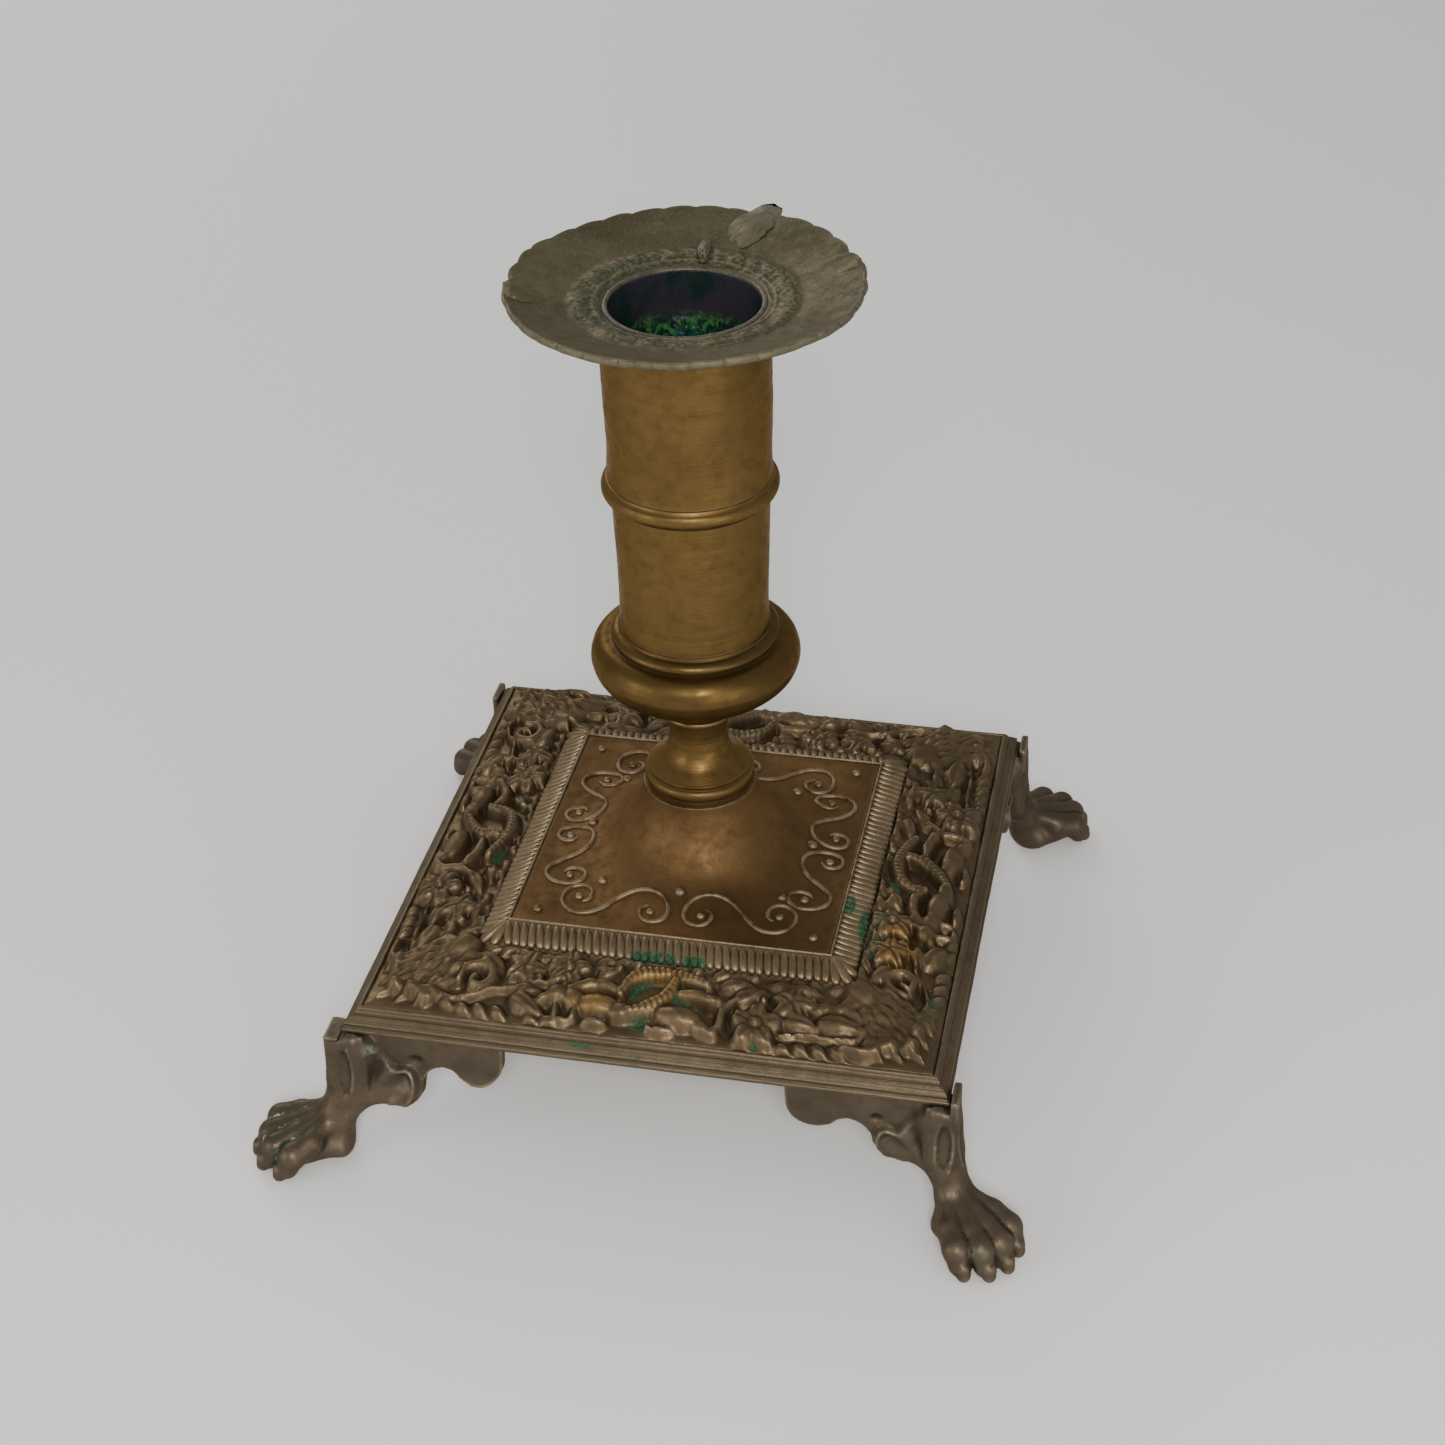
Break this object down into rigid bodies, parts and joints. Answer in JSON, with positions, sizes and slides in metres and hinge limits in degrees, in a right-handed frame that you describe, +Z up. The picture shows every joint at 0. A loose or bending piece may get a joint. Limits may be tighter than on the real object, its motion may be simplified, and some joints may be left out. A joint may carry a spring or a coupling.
{
  "type": "candlestick",
  "caption": "Footed brass candlestick: square relief-bordered base on paw feet, domed scroll panel, turned stem, wide tubular socket and a lift-off drip pan.",
  "frame": {"origin": "on the floor, in the middle of the four feet, on the stem's axis", "axes": "+Z up along the stem; -Y is the front side of the base, +X its right"},
  "size_m": [0.1262, 0.1262, 0.1331],
  "materials": {
    "pan_brass": "dull olive-grey patina with green verdigris and wax specks",
    "nozzle_brass": "worn, tarnished sheet brass, dark inside",
    "stem_brass": "golden-brown aged brass, soft satin with wear marks",
    "knop_brass": "darker brown aged brass, satin",
    "panel_brass": "brown patina, satin, lighter on raised scrolls",
    "gadroon_brass": "brown patina, dark in the grooves, verdigris spots",
    "border_brass": "brown-grey cast brass, worn high spots",
    "foot_brass": "brown-grey cast brass with pale green crust in the hollows",
    "iron_rod": "dark rusted iron",
    "steel_screws": "dulled steel"
  },
  "bodies": {
    "stand": {"candle_tube": "stem_brass", "joint_collar": "stem_brass", "stem_tube": "stem_brass", "knop": "knop_brass", "neck": "stem_brass", "tie_rod": "iron_rod", "top_nut": "iron_rod", "base_washer": "iron_rod", "base_nut": "iron_rod", "dome_panel": "panel_brass", "gadroon_frame": "gadroon_brass", "base_frame": "border_brass", "panel_screws": "steel_screws", "foot_back_right": "foot_brass", "foot_back_left": "foot_brass", "foot_front_left": "foot_brass", "foot_front_right": "foot_brass", "foot_screws": "steel_screws"},
    "pan": {"drip_pan": "pan_brass", "pan_nozzle": "nozzle_brass"}
  },
  "joints": [
    {"name": "pan_lift", "type": "slide", "parent": "stand", "child": "pan", "axis": [0, 0, 1], "range_m": [0, 0.045]}
  ]
}
